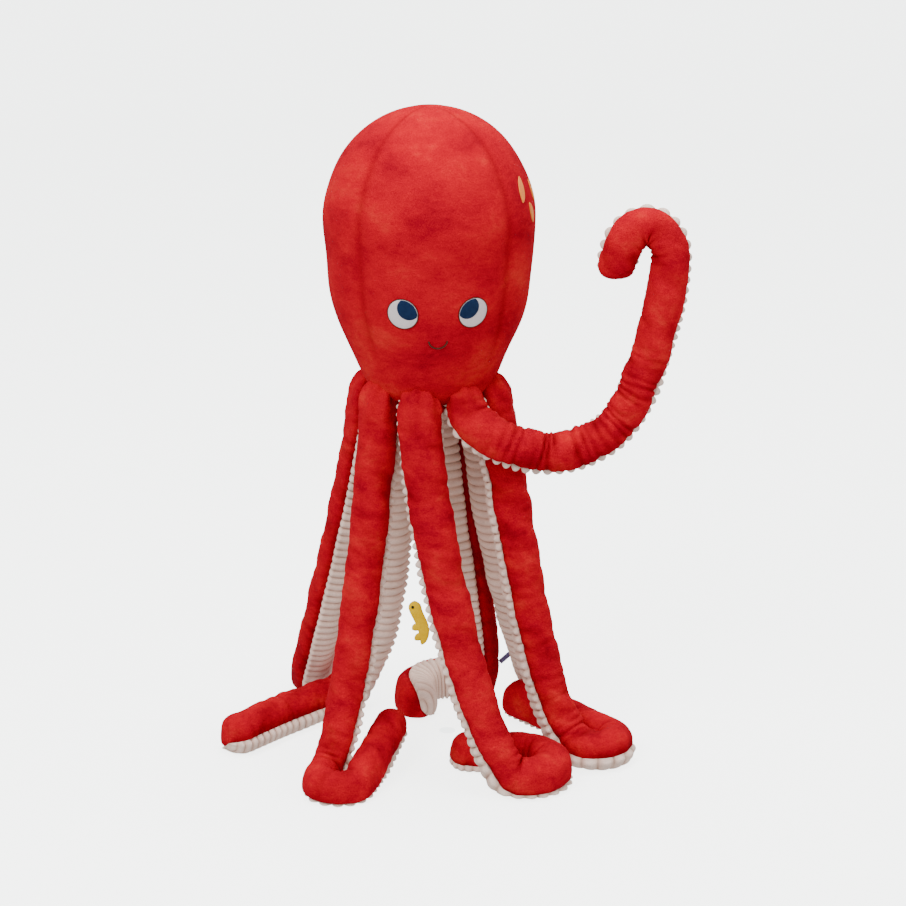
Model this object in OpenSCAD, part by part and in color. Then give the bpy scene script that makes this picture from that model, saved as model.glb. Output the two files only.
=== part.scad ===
// Large plush octopus that stands on seven arms and holds the eighth one up.
// Millimetres, +Z up, front towards -Y, origin on the floor at the middle of the footprint.
// Each arm is a sewn tube: plush on the outer half, ribbed corduroy on the inner half, stuffing inside.

/* [Head] */
// Widest radius of the head
head_r = 121; // [117:1:124]
// Height at which the head is widest
head_wide_z = 657; // [650:1:665]
// Height of the top of the head
head_top_z = 788; // [775:1:800]
// Direction that the face looks in, from the front towards the right
face_turn = 5.6; // [0:0.1:12]
// Diameter of an eye patch
eye_d = 35; // [30:1:38]
// Diameter of a pupil before the eye's edge trims it
pupil_d = 26; // [20:1:28]
// Height of the eye centres
eye_z = 571.5; // [560:0.5:580]
// Angle from the middle of the face to an eye
eye_angle = 20.4; // [18:0.1:26]

/* [Arms] */
// Radius of the circle on which the arms are sewn
ring_r = 70; // [70:0.5:72]
// Height of the arm roots
ring_z = 455; // [450:1:457]
// Thickness of the plush and the corduroy
skin = 2.5; // [2:0.1:3]
// Gap between a skin and the stuffing inside it
slack = 0.8; // [0.6:0.1:1]
// Free length of skin left open on each side of a bend
fold_gap = 10; // [9:0.5:11]
// Length of the rounded end of an arm
tip_round = 22; // [18:1:24]
// How far along an arm its knee lies, as a share of its length
knee_share = 0.33; // [0.3:0.01:0.36]

/* [Trim] */
// Thickness of the felt sea creature
felt_t = 5; // [3:0.5:6]
// Width of the ribbon tab
ribbon_w = 6; // [4:0.5:8]
// Length of the ribbon tab
ribbon_len = 28; // [20:1:34]

/* [Hidden] */
// Where the head's axis stands, measured from the middle of the footprint
HEAD_AXIS = [-20, -52.4, 0];

// One row for each standing arm: azimuth of its root and of its first plush normal, landing point,
// heading on the floor, pull of the curve at the root and at the floor, outward lean at the root,
// radius at the root and at the foot, twist of the seams, the stretch of arm over which they twist,
// and the runs on the floor as [length, turn, climb].
// Azimuths start at the front and grow towards -X; headings start at +X and grow towards +Y.
ARM_NAMES = ["front", "front_left", "left", "rear_left", "rear", "rear_right", "right"];
ARMS = [
  [10, 5, [103, -140], -8, 130, 45, -4, 25.5, 24.2, -75, [0, 470], [[120, 184, 0], [88, 0, 0]]],
  [55, 15, [-125, -122], 250, 170, 70, 4, 23.5, 20.5, 30, [0, 470], [[10, 0, 0], [71, 178, 0], [138, 6, 14]]],
  [100, 122, [-156, 197], 85, 150, 60, 7, 25.5, 25.2, 0, [0, 470], [[60, -85, 0], [45, 0, 0]]],
  [145, 160, [-126, 108], 222, 200, 90, 2, 25.5, 25.2, -70, [380, 490], [[130, 10, 0], [50, 0, 0]]],
  [190, 210, [45, 168], 148, 170, 58, 1, 25.5, 25.2, 50, [60, 560], [[100, 130, 0], [45, 10, 0]]],
  [235, 235, [142, 178], 84, 190, 62, 3, 25.5, 25.2, 0, [0, 470], [[60, 20, 0], [50, 0, 0]]],
  [280, 318, [184, -53], -42, 160, 76, 12, 25.5, 24.2, -38, [0, 520], [[70, 172, 0], [185, 0, 0]]],
];
// Points that the raised arm passes through, from its root to its curled tip
RAISED = [[40, -57, 455], [54, -72, 430], [92, -82, 411], [150, -80, 401], [212, -76, 430],
          [247, -73, 500], [268, -70, 585], [272, -68, 636], [250, -66, 663], [224, -66, 650],
          [213, -66, 620], [212, -66, 600]];
// Shares of the raised arm's length at its elbow and at its wrist
RAISED_BENDS = [0.35, 0.69];
raised_root_r = 25;
raised_r = 22.8;
raised_normal = [0, -0.6, 0.8];
raised_twist = 25;

LINKS = ["upper", "lower"];
RAISED_LINKS = ["upper", "middle", "tip"];
LAYERS = ["cover", "underside", "filling"];

plush_red = [0.80, 0.05, 0.10];
corduroy_beige = [0.86, 0.74, 0.69];
stuffing_white = [0.93, 0.93, 0.90];

shaft_steps = 60;       // points along the curve from the root to the floor
run_step = 8;           // spacing of the points along a run on the floor
upper_step = 24;        // spacing of the sections of an upper link
lower_step = 14.5;      // spacing of the sections of every other link
outer_sides = 6;        // flats on the outside of one half skin
inner_sides = 3;        // flats on the inside of one half skin
seam_gap = 0.6;         // half angle left open at a seam
floor_squash = 3.2;     // how much an arm that lies on the floor is flattened
knuckle_share = 0.68;   // radius of the stuffing at a bend, as a share of the arm's
tip_min_r = 4;          // radius at which the rounded end stops
skin_floor = 1.8;       // least height of a skin's inner face
filling_floor = 2.6;    // least height of the stuffing

neck_r = 26;
neck_z = 462;
panel_r = 72;
panel_z = 463;
knuckle_r = 17;
// Outline of the head's underside, from its axis out, as [radius, height]
HEAD_UNDERSIDE = [[0, 471], [32, 472], [50, 476]];
head_base_z = 484;
head_fall = 303;        // drop over which the lower head would taper to a point
head_power = 2.15;      // how late the lower head starts to taper
outline_step = 14.4;    // spacing of the outline's points on the lower head
gore_turn = -4;         // direction of the middle of the front gore
gore_gap = 0.4;         // angle left open at a seam of the head
neck_hole_r = 32;
patch_t = 1;            // thickness of an embroidered patch
pupil_shift = [8, 7];   // how far a pupil looks in and up
mouth_z = 539.5;
mouth_d = 21;
mouth_t = 1.6;
pad_t = 4;
fish_place = [-18, -70, 186];
tab_place = [86.6, 150, 52];
tab_rise = 42;

// ---------- vectors ----------
function unit(v) = v / norm(v);
function compass(az) = [-sin(az), -cos(az), 0];
function heading(h) = [cos(h), sin(h), 0];
function clamp01(t) = min(1, max(0, t));
function turned(v, axis, deg) = v * cos(deg) + cross(axis, v) * sin(deg) + axis * (axis * v) * (1 - cos(deg));
function bezier(p, t) = pow(1 - t, 3) * p[0] + 3 * pow(1 - t, 2) * t * p[1] + 3 * (1 - t) * t * t * p[2]
  + pow(t, 3) * p[3];
function spline(a, b, c, d, t) = 0.5 * (2 * b + (c - a) * t + (2 * a - 5 * b + 4 * c - d) * t * t
  + (3 * b - a - 3 * c + d) * pow(t, 3));

// ---------- routes ----------
function root_point(az) = ring_r * compass(az) + [0, 0, ring_z];
function landing(a) = [a[2][0], a[2][1], a[8] - floor_squash];
function shaft_points(a) =
  let (lean = compass(a[0]) * sin(a[6]) - [0, 0, cos(a[6])],
       ends = [root_point(a[0]), root_point(a[0]) + a[4] * lean, landing(a) - a[5] * heading(a[3]), landing(a)])
  [for (i = [0:shaft_steps]) bezier(ends, i / shaft_steps)];
function climbing(h, climb) = heading(h) * cos(climb) + [0, 0, sin(climb)];
function run_points(p, h, run) =
  let (n = ceil(run[0] / run_step), dl = run[0] / n, dh = run[1] / n)
  [for (k = 0, q = p + dl * climbing(h + dh / 2, run[2]), g = h + dh; k < n;
        k = k + 1, q = q + dl * climbing(g + dh / 2, run[2]), g = g + dh) q];
function floor_points(p, h, runs, i = 0) =
  i == len(runs) ? [] :
  let (now = run_points(p, h, runs[i]))
  concat(now, floor_points(now[len(now) - 1], h + runs[i][1], runs, i + 1));
function arm_points(a) = concat(shaft_points(a), floor_points(landing(a), a[3], a[11]));
function raised_points() =
  let (last = len(RAISED) - 1,
       p = concat([2 * RAISED[0] - RAISED[1]], RAISED, [2 * RAISED[last] - RAISED[last - 1]]))
  concat([for (i = [1:last]) for (k = [0:11]) spline(p[i - 1], p[i], p[i + 1], p[i + 2], k / 12)], [RAISED[last]]);

// A route is [length, tables of x, y, z, tables of the plush normal's x, y, z], each table against length
function travelled(p) = [for (i = 0, s = 0; i < len(p);
  s = s + (i + 1 < len(p) ? norm(p[i + 1] - p[i]) : 0), i = i + 1) s];
function tangent_at(p, i) = unit(p[min(i + 1, len(p) - 1)] - p[max(i - 1, 0)]);
function swept_normal(n, t) = unit(n - (n * t) * t);
function normals(p, n0) = [for (i = 0, n = swept_normal(n0, tangent_at(p, 0)); i < len(p);
  i = i + 1, n = i < len(p) ? swept_normal(n, tangent_at(p, i)) : n) n];
function route(p, n0, twist, span) =
  let (s = travelled(p), n = normals(p, n0), last = len(p) - 1,
       m = [for (i = [0:last]) turned(n[i], tangent_at(p, i), twist * clamp01((s[i] - span[0]) / (span[1] - span[0])))])
  concat([s[last]],
    [for (k = [0:2]) [for (i = [0:last]) [s[i], p[i][k]]]],
    [for (k = [0:2]) [for (i = [0:last]) [s[i], m[i][k]]]]);
function place(r, s) = [lookup(s, r[1]), lookup(s, r[2]), lookup(s, r[3])];
function direction(r, s) = unit(place(r, min(s + 2, r[0])) - place(r, max(s - 2, 0)));
function plush_normal(r, s) = swept_normal([lookup(s, r[4]), lookup(s, r[5]), lookup(s, r[6])], direction(r, s));
function arm_route(a) = route(arm_points(a), compass(a[1]), a[9], a[10]);
function raised_route() =
  let (p = raised_points()) route(p, raised_normal, raised_twist, [0, travelled(p)[len(p) - 1]]);

// ---------- sections ----------
function end_round(left) = left >= tip_round ? 1 : sqrt(max(0, 1 - pow(1 - left / tip_round, 2)));
function arm_radius(a, length, s) =
  (a[7] - (a[7] - a[8]) * clamp01((s / length - 0.45) / 0.3)) * end_round(length - s);
function raised_radius(length, s) =
  (raised_root_r - (raised_root_r - raised_r) * clamp01((s / length - 0.1) / 0.3)) * end_round(length - s);
// Stations from a to b; a rounded end adds four closer ones
function stations(a, b, step) = let (n = ceil((b - a) / step)) [for (i = [0:n]) a + (b - a) * i / n];
function tip_stations(length) = [for (left = [13, 7, 3, 1]) length - left];
function lifted(p, low) = [p[0], p[1], max(p[2], low)];
function spot(r, s, radius, angle, low) =
  let (t = direction(r, s), n = plush_normal(r, s), b = cross(t, n))
  lifted(place(r, s) + radius * (n * cos(angle) + b * sin(angle)), low);
// A half skin's section runs along its outside and back along its inside
function skin_ring(r, s, radius, mid) =
  let (first = mid - 90 + seam_gap, span = 180 - 2 * seam_gap, inside = max(radius - skin, radius / 3))
  concat([for (k = [0:outer_sides]) spot(r, s, radius, first + span * k / outer_sides, 0)],
         [for (k = [0:inner_sides]) spot(r, s, inside, first + span * (1 - k / inner_sides), skin_floor)]);
function filling_ring(r, s, radius) =
  [for (k = [0:2 * inner_sides - 1]) spot(r, s, radius, -90 + 180 * k / inner_sides, filling_floor)];

// ---------- solids ----------
function side_faces(rings, m) = [for (i = [0:rings - 2]) for (k = [0:m - 1])
  let (a = i * m + k, b = i * m + (k + 1) % m) each [[a, b, a + m], [b, b + m, a + m]]];
// The C-shaped end of a half skin, as the triangles between its outside and its inside
function skin_end(at) = [for (k = [0:inner_sides - 1])
  let (o = at + outer_sides - 2 * k, i = at + outer_sides + 1 + k)
  each [[o, i, o - 1], [o - 1, i, i + 1], [o - 1, i + 1, o - 2]]];
function fan_end(at, m) = [for (k = [1:m - 2]) [at, at + k + 1, at + k]];
function flipped(faces) = [for (f = faces) [f[0], f[2], f[1]]];

module skin_tube(rings) {
  m = outer_sides + inner_sides + 2;
  polyhedron([for (ring = rings) each ring],
    concat(side_faces(len(rings), m), flipped(skin_end(0)), skin_end((len(rings) - 1) * m)));
}
module filling_tube(rings) {
  m = 2 * inner_sides;
  polyhedron([for (ring = rings) each ring],
    concat(side_faces(len(rings), m), fan_end(0, m), flipped(fan_end((len(rings) - 1) * m, m))));
}
// Sections of the rounded knuckle of stuffing at a bend, on which the next link turns
function knuckle_rings(r, bend, radius) =
  [for (a = [0, 30, 55, 75]) filling_ring(r, bend + radius * sin(a), radius * cos(a))];

// One layer of one link, between two bends; the last link of an arm has a rounded end
module link(r, radius_of, from, to, ends, layer, step) {
  skin_stops = concat(stations(from + fold_gap, ends ? to - tip_round : to - fold_gap, step),
                      ends ? tip_stations(to) : []);
  fill_from = from + max(knuckle_share * radius_of(from), knuckle_r) + 1;
  fill_stops = concat([fill_from], [for (s = skin_stops) if (s > fill_from + 2 && s < to - 5) s]);
  if (layer == "filling")
    color(stuffing_white)
      filling_tube(concat(
        [for (s = fill_stops) filling_ring(r, s, radius_of(s) - skin - slack)],
        ends ? [] : knuckle_rings(r, to, knuckle_share * radius_of(to))));
  else
    color(layer == "cover" ? plush_red : corduroy_beige)
      skin_tube([for (s = skin_stops)
        skin_ring(r, s, max(radius_of(s), tip_min_r), layer == "cover" ? 0 : 180)]);
}

// ---------- arms ----------
module standing_arm_piece(i, link_name, layer) {
  a = ARMS[i];
  r = arm_route(a);
  knee = knee_share * r[0];
  radius_of = function(s) arm_radius(a, r[0], s);
  translate(HEAD_AXIS)
    if (link_name == "upper") link(r, radius_of, 0, knee, false, layer, upper_step);
    else link(r, radius_of, knee, r[0], true, layer, lower_step);
}
module raised_arm_piece(link_name, layer) {
  r = raised_route();
  bends = [0, RAISED_BENDS[0] * r[0], RAISED_BENDS[1] * r[0], r[0]];
  radius_of = function(s) raised_radius(r[0], s);
  i = search([link_name], RAISED_LINKS)[0];
  translate(HEAD_AXIS)
    link(r, radius_of, bends[i], bends[i + 1], i == 2, layer, lower_step);
}

// ---------- head ----------
// Half outline of the head from its underside up to the pole, shrunk by an inset
function head_side_r(z, inset) = (head_r - inset) * (1 - pow((head_wide_z - z) / head_fall, head_power));
function head_outline(inset) = concat(
  [for (p = HEAD_UNDERSIDE) p + [0, inset]],
  [for (z = [head_base_z + inset / 2 : outline_step : head_wide_z]) [head_side_r(z, inset), z]],
  [for (a = [0:9:81]) [(head_r - inset) * cos(a), head_wide_z + (head_top_z - head_wide_z - inset) * sin(a)]],
  [[0, head_top_z - inset]]);
// The head stands over its axis; features are drawn facing the front and turned to their azimuth
module facing(az) {
  translate(HEAD_AXIS) rotate([0, 0, -az]) children();
}
module head_cover() {
  // Four gores, each a quarter of the outline, meeting at seams either side of the face
  color(plush_red)
    facing(gore_turn)
      for (quarter = [0:3])
        rotate([0, 0, 90 * quarter + 45 + gore_gap / 2])
          rotate_extrude(angle = 90 - gore_gap, $fn = 96)
            difference() {
              polygon(head_outline(0));
              polygon(head_outline(skin));
              square([neck_hole_r, head_base_z]);
            }
}
module head_filling() {
  color(stuffing_white)
    translate(HEAD_AXIS)
      difference() {
        rotate_extrude($fn = 96) polygon(head_outline(skin + slack));
        translate([0, 0, neck_z]) sphere(r = neck_r + 1, $fn = 48);
      }
}

// ---------- face ----------
// A thin patch that follows the head between two heights above its surface
module patch(low, high) {
  intersection() {
    rotate_extrude($fn = 96)
      difference() {
        polygon(head_outline(-high));
        polygon(head_outline(-low));
      }
    children();
  }
}
// A cylinder through the face at a height, long enough to cross its surface
module face_core(d, x, z) {
  translate([x, 0, z]) rotate([90, 0, 0]) cylinder(d = d, h = head_r + 10, $fn = 64);
}
module eye_patches() {
  color("white")
    for (side = [-1, 1])
      facing(-face_turn + side * eye_angle) patch(0.1, patch_t) face_core(eye_d, 0, eye_z);
}
module eye_pupils() {
  color("midnightblue")
    for (side = [-1, 1])
      facing(-face_turn + side * eye_angle)
        patch(patch_t + 0.1, 2 * patch_t)
          intersection() {
            face_core(eye_d - 1, 0, eye_z);
            face_core(pupil_d, side * pupil_shift[0], eye_z + pupil_shift[1]);
          }
}
module mouth_stitch() {
  color("saddlebrown")
    facing(-face_turn)
      patch(0.1, patch_t)
        translate([0, 0, mouth_z])
          rotate([90, 0, 0])
            linear_extrude(height = head_r + 10)
              difference() {
                circle(d = mouth_d, $fn = 48);
                circle(d = mouth_d - 2 * mouth_t, $fn = 48);
                translate([-mouth_d, -mouth_d * 0.1]) square(2 * mouth_d);
              }
}

// ---------- underside of the head ----------
module base_panel() {
  color(plush_red)
    translate(HEAD_AXIS + [0, 0, panel_z])
      difference() {
        cylinder(r = panel_r, h = skin, $fn = 96);
        translate([0, 0, -1]) cylinder(r = neck_r + 0.4, h = skin + 2, $fn = 64);
      }
}
// One piece of stuffing: the neck, a pad under the panel and a knuckle for each arm
module base_filling() {
  color(stuffing_white)
    translate(HEAD_AXIS) {
      translate([0, 0, neck_z]) sphere(r = neck_r, $fn = 48);
      difference() {
        union() {
          translate([0, 0, panel_z - pad_t]) cylinder(r = panel_r - 3, h = pad_t - slack, $fn = 96);
          for (az = [10:45:325])
            translate(root_point(az)) sphere(r = knuckle_r, $fn = 32);
        }
        translate([0, 0, panel_z - slack]) cylinder(r = 2 * panel_r, h = 3 * knuckle_r);
      }
    }
}

// ---------- trim ----------
module felt_fish() {
  color("gold")
    translate(HEAD_AXIS + fish_place)
      rotate([90, 0, 0])
        linear_extrude(height = felt_t, center = true)
          offset(r = 2, $fn = 24) {
            translate([0, 22]) circle(d = 14, $fn = 32);
            hull() {
              translate([2, 14]) circle(d = 8, $fn = 32);
              translate([10, -4]) circle(d = 12, $fn = 32);
            }
            hull() {
              translate([10, -4]) circle(d = 10, $fn = 32);
              translate([4, -12]) circle(d = 6, $fn = 32);
            }
            hull() {
              translate([12, -8]) circle(d = 8, $fn = 32);
              translate([9, -24]) circle(d = 6, $fn = 32);
            }
          }
}
module ribbon_tab() {
  color("slateblue")
    translate(HEAD_AXIS + tab_place)
      rotate([0, -tab_rise, 0])
        translate([0, -0.5, -ribbon_w / 2]) cube([ribbon_len, 1, ribbon_w]);
}

for (i = [0:len(ARM_NAMES) - 1]) for (link_name = LINKS) for (layer = LAYERS)
  standing_arm_piece(i, link_name, layer);
for (link_name = RAISED_LINKS) for (layer = LAYERS)
  raised_arm_piece(link_name, layer);
head_cover();
head_filling();
eye_patches();
eye_pupils();
mouth_stitch();
base_panel();
base_filling();
felt_fish();
ribbon_tab();
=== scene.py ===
"""Looks of the large plush octopus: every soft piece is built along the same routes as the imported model.

Lengths are millimetres until a mesh is made, and the routes repeat those of the part's source.
"""
import math
from collections import namedtuple

import bpy
import numpy as np
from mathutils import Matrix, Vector
from mathutils.bvhtree import BVHTree


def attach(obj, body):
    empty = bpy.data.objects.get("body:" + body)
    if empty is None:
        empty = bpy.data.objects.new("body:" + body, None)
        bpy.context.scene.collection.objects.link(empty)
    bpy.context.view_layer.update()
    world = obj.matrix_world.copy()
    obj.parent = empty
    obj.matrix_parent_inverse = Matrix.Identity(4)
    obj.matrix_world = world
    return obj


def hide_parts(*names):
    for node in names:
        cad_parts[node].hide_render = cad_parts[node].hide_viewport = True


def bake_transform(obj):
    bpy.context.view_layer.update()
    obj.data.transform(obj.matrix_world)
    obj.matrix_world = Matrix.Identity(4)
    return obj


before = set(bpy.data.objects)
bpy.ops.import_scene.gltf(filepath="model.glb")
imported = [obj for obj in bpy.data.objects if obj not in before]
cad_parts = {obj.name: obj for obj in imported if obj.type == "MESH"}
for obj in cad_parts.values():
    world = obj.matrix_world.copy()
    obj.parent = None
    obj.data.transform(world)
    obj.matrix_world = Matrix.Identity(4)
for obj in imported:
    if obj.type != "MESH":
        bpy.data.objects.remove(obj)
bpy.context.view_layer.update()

MM = 0.001
HEAD_AXIS = np.array([-20.0, -52.4, 0.0])

# ---------- dimensions shared with the part ----------
HEAD_R = 121.0
HEAD_WIDE_Z = 657.0
HEAD_TOP_Z = 788.0
HEAD_FALL = 303.0
HEAD_POWER = 2.15
CHIN_Z = 455.0              # where the side of the head turns in under the chin
CHIN = [(0.0, 445.0), (30.0, 445.0), (50.0, 446.0), (62.0, 449.0)]
GORE_TURN = -4.0
FACE_TURN = 5.6
EYE_D = 35.0
EYE_Z = 571.5
EYE_ANGLE = 20.4
PUPIL_D = 26.0
PUPIL_SHIFT = (7.0, 6.5)
MOUTH_Z = 539.5
MOUTH_D = 21.0
RING_R = 70.0
RING_Z = 455.0
KNEE_SHARE = 0.33
FLOOR_SQUASH = 3.2
TIP_ROUND = 22.0
FISH_PLACE = (-18.0, -70.0, 186.0)
TAB_PLACE = (86.6, 150.0, 52.0)
TAB_RISE = 42.0
RIBBON_W = 6.0
RIBBON_LEN = 28.0

# Azimuths start at the front and grow towards -X; headings start at +X and grow towards +Y.
StandingArm = namedtuple("StandingArm", (
    "name",
    "root_azimuth",
    "plush_azimuth",        # where the plush half faces at the root
    "landing",              # where the centre line comes down to the floor
    "turn",                 # heading on the floor there
    "pull_root",            # pull of the curve at the root and at the floor
    "pull_floor",
    "lean",                 # outward lean at the root
    "root_r",
    "foot_r",
    "twist",                # turn of the seams round the arm
    "twist_span",           # the stretch of arm over which they turn
    "runs",                 # what follows on the floor, as (length, turn, climb)
))
ARMS = [
    StandingArm("front_arm", 10, 5, (103, -140), -8, 130, 45, -4, 25.5, 24.2, -75, (0, 470),
                ((120, 184, 0), (88, 0, 0))),
    StandingArm("front_left_arm", 55, 15, (-125, -122), 250, 170, 70, 4, 23.5, 20.5, 30, (0, 470),
                ((10, 0, 0), (71, 178, 0), (138, 6, 14))),
    StandingArm("left_arm", 100, 122, (-156, 197), 85, 150, 60, 7, 25.5, 25.2, 0, (0, 470),
                ((60, -85, 0), (45, 0, 0))),
    StandingArm("rear_left_arm", 145, 160, (-126, 108), 222, 200, 90, 2, 25.5, 25.2, -70, (380, 490),
                ((130, 10, 0), (50, 0, 0))),
    StandingArm("rear_arm", 190, 210, (45, 168), 148, 170, 58, 1, 25.5, 25.2, 50, (60, 560),
                ((100, 130, 0), (45, 10, 0))),
    StandingArm("rear_right_arm", 235, 235, (142, 178), 84, 190, 62, 3, 25.5, 25.2, 0, (0, 470),
                ((60, 20, 0), (50, 0, 0))),
    StandingArm("right_arm", 280, 318, (184, -53), -42, 160, 76, 12, 25.5, 24.2, -38, (0, 520),
                ((70, 172, 0), (185, 0, 0))),
]
# Points that the raised arm passes through, from its root to its curled tip
RAISED = [(40, -57, 455), (54, -72, 430), (92, -82, 411), (150, -80, 401), (212, -76, 430),
          (247, -73, 500), (268, -70, 585), (272, -68, 636), (250, -66, 663), (224, -66, 650),
          (213, -66, 620), (212, -66, 600)]
RAISED_BENDS = (0.35, 0.69)
RAISED_ROOT_R = 25.0
RAISED_R = 22.8
RAISED_NORMAL = (0.0, -0.6, 0.8)
RAISED_TWIST = 25.0

# ---------- how the cloth is made ----------
SHAFT_POINTS = 61           # points of an arm's way down to the floor
RUN_STEP = 8                # the longest step of its runs on the floor
RAISED_STEPS = 12           # steps between two points of the raised arm
ROUTE_STEP = 2.0            # spacing of the samples of a route
ROUTE_BLUR = 7.0            # smoothing of a route, as a standard deviation
TUCK_LEN = 15.0             # how far an arm's top runs up under the head
TUCK_IN = 11.0              # how far it leans in there
DOME_LEN = 30.0             # length of the rounded top of an arm
DOME_POWER = 2.8            # how full that top is
DOME_MOST = 0.995           # how far up that top is followed, where a flat end closes it
CAP_LENGTH = 36.0           # length of cloth over the rounded end of an arm
CAP_POWER = 0.9             # how full that end is
COLUMNS = 30                # columns of the mesh across one side of an arm
SEAM_AT = math.radians(102)  # how far round from the middle of the plush its seams lie
SEAM_DEPTH = 2.4
SEAM_WIDTH = 0.15           # as an angle round the arm
PLUSH_STEP = 2.0            # distance between the rows of the plush mesh
PUCKER_PITCH = 13.0         # puckers of the plush beside a seam
PUCKER_DEPTH = 0.9
PUCKER_WIDTH = 0.30
CREASE_PITCH = 24.0         # soft creases where the plush lies loose
CREASE_DEPTH = 1.3
FOLD_PITCH = 17.0           # creases inside a bend
FOLD_DEPTH = 3.6
CRUMPLED = (40.0, 330.0)    # the stretch of the raised arm that is wrinkled
CRUMPLE_PITCH = 11.0
CRUMPLE_DEPTH = 2.8
PLEATS = 7                  # gathers where an arm is sewn in
PLEAT_DEPTH = 1.8
WALE_PITCH = 10.7
WALE_STEPS = 7              # rows of the mesh for each wale
WALE_HEIGHT = 2.8
WALE_POWER = 0.55           # how full a wale is
WALE_LEVEL = 0.8            # share of its height that lies inside the tube's surface
LIP_AT = 0.17               # rolled edge of the corduroy beside a seam, as angles
LIP_WIDTH = 0.13
LIP_HEIGHT = 4.4
LIP_SINK = 1.7              # how far the grooves go down there
STITCH_WIDTH = 0.07         # the stitched groove at the seam, as an angle
STITCH_DEPTH = 3.2
PRESSED_SHARE = 0.45        # share of its height that cloth keeps at the floor
PRESSED_BELOW = 10.0        # cloth up to this height is pressed fully
PRESSED_EASE = 25.0         # and over this much more height less and less


# ---------- vectors and routes ----------
def unit(v):
    return v / np.linalg.norm(v, axis=-1, keepdims=True)


def compass(azimuth):
    a = math.radians(azimuth)
    return np.array([-math.sin(a), -math.cos(a), 0.0])


def heading(angle):
    a = math.radians(angle)
    return np.array([math.cos(a), math.sin(a), 0.0])


def climbing(angle, climb):
    rise = math.radians(climb)
    return heading(angle) * math.cos(rise) + np.array([0.0, 0.0, math.sin(rise)])


def turned(v, axis, degrees):
    c = math.cos(math.radians(degrees))
    s = math.sin(math.radians(degrees))
    return v * c + np.cross(axis, v) * s + axis * (axis @ v) * (1 - c)


def smooth(t):
    t = np.clip(t, 0.0, 1.0)
    return t * t * (3 - 2 * t)


def travelled(points):
    steps = np.linalg.norm(np.diff(points, axis=0), axis=1)
    return np.concatenate([[0.0], np.cumsum(steps)])


def tucked(root):
    """Points from under the head down to just above an arm's root."""
    outward = unit(root * (1, 1, 0))
    shares = np.linspace(1.0, 0.0, 9)[:-1]
    return np.array([root + (0, 0, TUCK_LEN * u) - outward * TUCK_IN * u * u for u in shares])


def arm_points(arm):
    """Points of a standing arm: its way down to the floor, then its runs on the floor."""
    root = RING_R * compass(arm.root_azimuth) + (0, 0, RING_Z)
    landing = np.array([*arm.landing, arm.foot_r - FLOOR_SQUASH])
    turn = arm.turn
    tilt = math.radians(arm.lean)
    down = compass(arm.root_azimuth) * math.sin(tilt) - np.array([0, 0, math.cos(tilt)])
    ends = [root, root + arm.pull_root * down, landing - arm.pull_floor * heading(turn), landing]
    t = np.linspace(0, 1, SHAFT_POINTS)[:, None]
    shaft = ((1 - t) ** 3 * ends[0] + 3 * (1 - t) ** 2 * t * ends[1]
             + 3 * (1 - t) * t ** 2 * ends[2] + t ** 3 * ends[3])
    floor = []
    at = landing
    for length, bend, climb in arm.runs:
        count = math.ceil(length / RUN_STEP)
        for _ in range(count):
            at = at + length / count * climbing(turn + bend / count / 2, climb)
            turn += bend / count
            floor.append(at)
    return np.vstack([shaft, np.array(floor)])


def raised_points():
    """A smooth line through the points of the raised arm."""
    p = np.array(RAISED, float)
    p = np.vstack([2 * p[0] - p[1], p, 2 * p[-1] - p[-2]])
    out = []
    for a, b, c, d in zip(p[:-3], p[1:-2], p[2:-1], p[3:]):
        for t in np.arange(RAISED_STEPS) / RAISED_STEPS:
            out.append(0.5 * (2 * b + (c - a) * t + (2 * a - 5 * b + 4 * c - d) * t ** 2
                              + (3 * b - a - 3 * c + d) * t ** 3))
    return np.array(out + [p[-2]])


def blurred(points):
    """The same line with its corners eased, its ends kept in line."""
    reach = int(3 * ROUTE_BLUR / ROUTE_STEP)
    offsets = np.arange(-reach, reach + 1)
    weights = np.exp(-0.5 * (offsets * ROUTE_STEP / ROUTE_BLUR) ** 2)
    weights /= weights.sum()
    head = points[0] + (points[0] - points[1]) * np.arange(reach, 0, -1)[:, None]
    tail = points[-1] + (points[-1] - points[-2]) * np.arange(1, reach + 1)[:, None]
    padded = np.vstack([head, points, tail])
    return np.stack([np.convolve(padded[:, k], weights, "valid") for k in range(3)], axis=1)


class Route:
    """Centre line of an arm in the part's frame, with lengths measured from its root down."""

    def __init__(self, points, first_normal, twist, span=None):
        top = tucked(points[0])
        line = np.vstack([top, points])
        along = travelled(line)
        root_at = along[len(top)]
        self.length = along[-1] - root_at
        self.s = np.append(np.arange(-root_at, self.length, ROUTE_STEP), self.length)
        raw = np.stack([np.interp(self.s + root_at, along, line[:, k]) for k in range(3)], axis=1)
        self.centre = blurred(raw) + HEAD_AXIS
        self.tangent = unit(np.gradient(self.centre, self.s, axis=0))
        self.bend = np.gradient(self.tangent, self.s, axis=0)
        first = int(np.searchsorted(self.s, 0.0))
        self.normal = np.zeros_like(self.tangent)
        for order in (range(first, len(self.s)), range(first, -1, -1)):
            n = np.array(first_normal, float)
            for i in order:
                n = unit(n - (n @ self.tangent[i]) * self.tangent[i])
                self.normal[i] = n
        start, stop = span or (0.0, self.length)
        for i, s in enumerate(self.s):
            angle = twist * min(1.0, max(0.0, (s - start) / (stop - start)))
            self.normal[i] = turned(self.normal[i], self.tangent[i], angle)

    def sample(self, table, s):
        return np.stack([np.interp(s, self.s, table[:, k]) for k in range(3)], axis=-1)

    def place(self, s):
        return self.sample(self.centre, np.array([s]))[0]


def narrowing(root_r, foot_r, length, start):
    """The radius along an arm that narrows from a share of its length, over three tenths of it."""
    return lambda s: root_r - (root_r - foot_r) * np.clip((s / length - start) / 0.3, 0, 1)


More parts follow.
